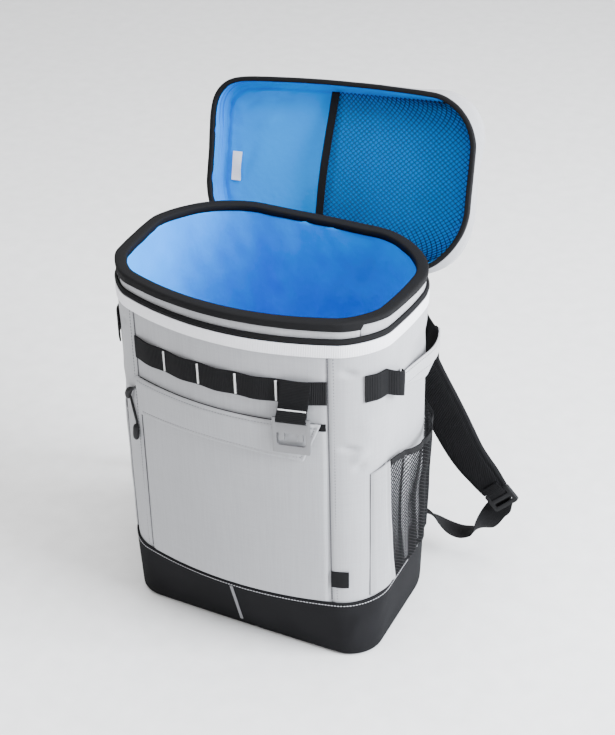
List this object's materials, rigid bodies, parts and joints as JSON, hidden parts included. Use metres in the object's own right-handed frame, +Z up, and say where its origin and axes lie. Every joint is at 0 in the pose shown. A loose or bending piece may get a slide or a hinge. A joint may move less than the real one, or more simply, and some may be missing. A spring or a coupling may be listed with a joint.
{
  "type": "cooler backpack",
  "caption": "Soft cooler backpack with its lid standing open, padded insulated body, black foot, front pocket, side nets, shoulder straps and a metal bottle opener.",
  "frame": {"origin": "middle of the base underside, on the floor", "axes": "+Z up, -Y towards the front face, +X to the right as seen from the front"},
  "size_m": [0.4494, 0.3206, 0.5199],
  "materials": {
    "grey_cloth": "fine woven, matte",
    "blue_lining": "coated, soft sheen",
    "black_coated": "coated, low sheen",
    "white_band": "ribbed, matte",
    "black_webbing": "ribbed webbing, matte",
    "black_net": "open mesh",
    "satin_metal": "satin",
    "black_plastic": "moulded, satin"
  },
  "bodies": {
    "bag": {"body_shell": "grey_cloth", "collar": "grey_cloth", "lid_shell": "grey_cloth", "hinge_strip": "grey_cloth", "boot_piping": "grey_cloth", "boot_stripe": "grey_cloth", "pocket_panel": "grey_cloth", "pocket_flap": "grey_cloth", "side_panel_left": "grey_cloth", "side_panel_right": "grey_cloth", "wing_left": "grey_cloth", "wing_right": "grey_cloth", "liner": "blue_lining", "lid_liner": "blue_lining", "base_boot": "black_coated", "white_band": "white_band", "care_label": "white_band", "body_zip": "black_webbing", "rim_binding": "black_webbing", "lid_binding": "black_webbing", "lid_net_binding": "black_webbing", "daisy_webbing": "black_webbing", "pocket_zip": "black_webbing", "zip_pull": "black_webbing", "label_tab": "black_webbing", "opener_loop": "black_webbing", "side_net_binding_left": "black_webbing", "side_net_binding_right": "black_webbing", "grip_left": "black_webbing", "grip_right": "black_webbing", "wing_tab_left": "black_webbing", "wing_tab_right": "black_webbing", "strap_left": "black_webbing", "strap_right": "black_webbing", "strap_webbing_left": "black_webbing", "strap_webbing_right": "black_webbing", "lid_net": "black_net", "side_net_left": "black_net", "side_net_right": "black_net", "buckle_left": "black_plastic", "buckle_right": "black_plastic"},
    "opener": {"opener": "satin_metal"}
  },
  "joints": [
    {"name": "opener_swing", "type": "hinge", "parent": "bag", "child": "opener", "pos_m": [0.07349, -0.12408, 0.3015], "axis": [-0.9751, -0.2215, 0], "range_deg": [0, 80]}
  ]
}
